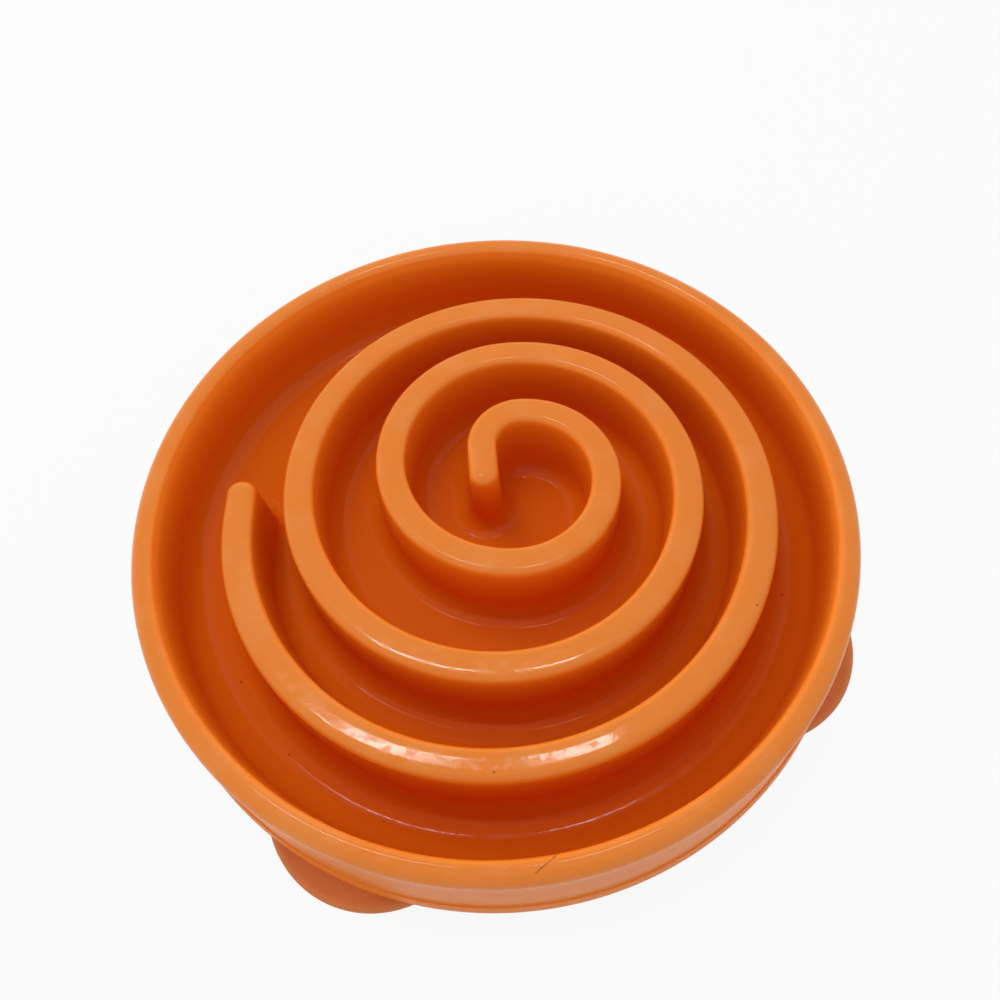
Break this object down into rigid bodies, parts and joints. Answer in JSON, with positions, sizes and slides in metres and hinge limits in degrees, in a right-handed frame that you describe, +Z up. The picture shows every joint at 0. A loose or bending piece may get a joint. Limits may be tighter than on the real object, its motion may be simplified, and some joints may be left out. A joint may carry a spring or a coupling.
{
  "type": "slow feeder bowl",
  "caption": "Round slow feeder bowl with a tall spiral ridge that winds through its well, on anti-slip pads.",
  "frame": {"origin": "on the bowl's axis, on the surface that it stands on", "axes": "+Z up along the bowl's axis, -Y towards the picture's viewer, +X to their right"},
  "size_m": [0.3072, 0.3072, 0.051],
  "materials": {
    "shell": "glossy",
    "pads": "matt"
  },
  "bodies": {
    "root": {"bowl": "shell", "foot_front": "pads", "foot_right": "pads", "foot_rear": "pads", "foot_left": "pads"}
  },
  "joints": []
}
